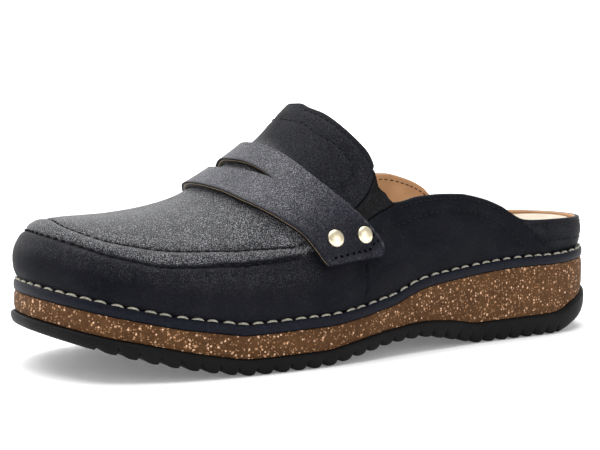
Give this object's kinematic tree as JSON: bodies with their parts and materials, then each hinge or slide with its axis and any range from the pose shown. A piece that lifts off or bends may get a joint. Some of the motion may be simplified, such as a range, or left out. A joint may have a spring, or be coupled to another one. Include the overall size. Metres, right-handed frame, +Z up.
{
  "type": "clog",
  "caption": "Backless left clog with a closed moc toe, a standing tongue, a riveted saddle strap and a cork wedge on a ribbed rubber outsole",
  "frame": {"origin": "middle of the overall box, at the height of the ground", "axes": "toe along -X, heel along +X, lateral side along -Y, +Z up"},
  "size_m": [0.262, 0.0986, 0.1008],
  "materials": {
    "outsole": "matte black moulded rubber",
    "midsole": "sealed cork with pale and dark flecks",
    "welt": "dark navy leather band with heavy pale stitches",
    "insole": "pale suede",
    "upper": "dark navy oiled nubuck with dark stitches",
    "gore": "black ribbed elastic",
    "strap": "dark navy smooth leather with a raw tan edge",
    "rivet": "pale polished brass"
  },
  "bodies": {
    "root": {"outsole": "outsole", "midsole": "midsole", "welt": "welt", "insole": "insole", "upper": "upper", "gore_lateral": "gore", "gore_medial": "gore", "saddle_strap": "strap", "rivet_lateral_front": "rivet", "rivet_lateral_rear": "rivet", "rivet_medial_front": "rivet", "rivet_medial_rear": "rivet"}
  },
  "joints": []
}
